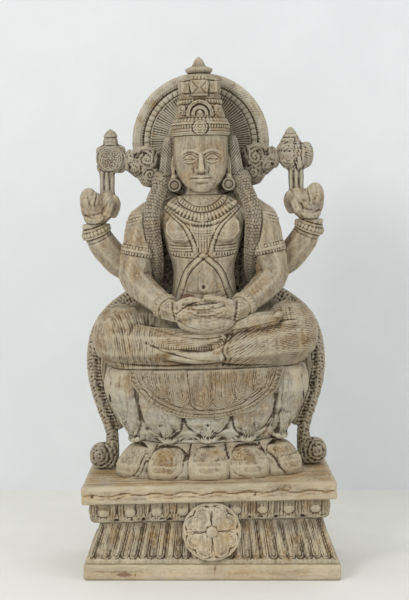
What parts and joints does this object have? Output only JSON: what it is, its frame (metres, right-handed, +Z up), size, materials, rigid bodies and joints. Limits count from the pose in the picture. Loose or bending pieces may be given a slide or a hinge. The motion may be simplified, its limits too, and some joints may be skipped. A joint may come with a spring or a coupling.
{
  "type": "hindu deity statue",
  "caption": "Carved wooden seated goddess with four arms, spoked halo and lotus throne on a stepped plinth, for indoor display.",
  "frame": {"origin": "middle of the plinth's flat underside", "axes": "+Z up through the crown, the figure faces -Y, +X to the viewer's right"},
  "size_m": [0.4605, 0.2563, 0.9138],
  "materials": {
    "carved_wood": "weathered, hand carved, unvarnished, grey lime in the grooves",
    "limed_wood": "weathered, pale limewash over bare wood",
    "grey_wood": "weathered, darker grey-brown, stippled with a gouge",
    "plinth_wood": "weathered, sawn and hand carved, open grain and cracks",
    "dowel_wood": "bare turned hardwood"
  },
  "bodies": {
    "root": {"plinth_foot": "plinth_wood", "plinth_block": "plinth_wood", "rosette": "limed_wood", "valance_band": "plinth_wood", "top_slab": "plinth_wood", "lotus_lower": "carved_wood", "lotus_bowl": "limed_wood", "seat_cloth": "carved_wood", "side_frame_left": "grey_wood", "side_frame_right": "grey_wood", "crossed_legs": "carved_wood", "back_panel": "grey_wood", "torso": "carved_wood", "head": "carved_wood", "crown": "carved_wood", "halo_wheel": "grey_wood", "bracket_left": "grey_wood", "bracket_right": "grey_wood", "discus": "grey_wood", "conch": "grey_wood", "front_arm_left": "carved_wood", "front_arm_right": "carved_wood", "clasped_hands": "carved_wood", "rear_arm_left": "carved_wood", "rear_arm_right": "carved_wood", "rear_hand_left": "carved_wood", "rear_hand_right": "carved_wood", "hair_rope_left": "grey_wood", "hair_rope_right": "grey_wood", "earring_left": "carved_wood", "earring_right": "carved_wood", "dowel_slab_left": "dowel_wood", "dowel_slab_right": "dowel_wood", "dowel_lotus": "dowel_wood", "dowel_seat": "dowel_wood", "dowel_neck": "dowel_wood", "dowel_crown": "dowel_wood"}
  },
  "joints": []
}
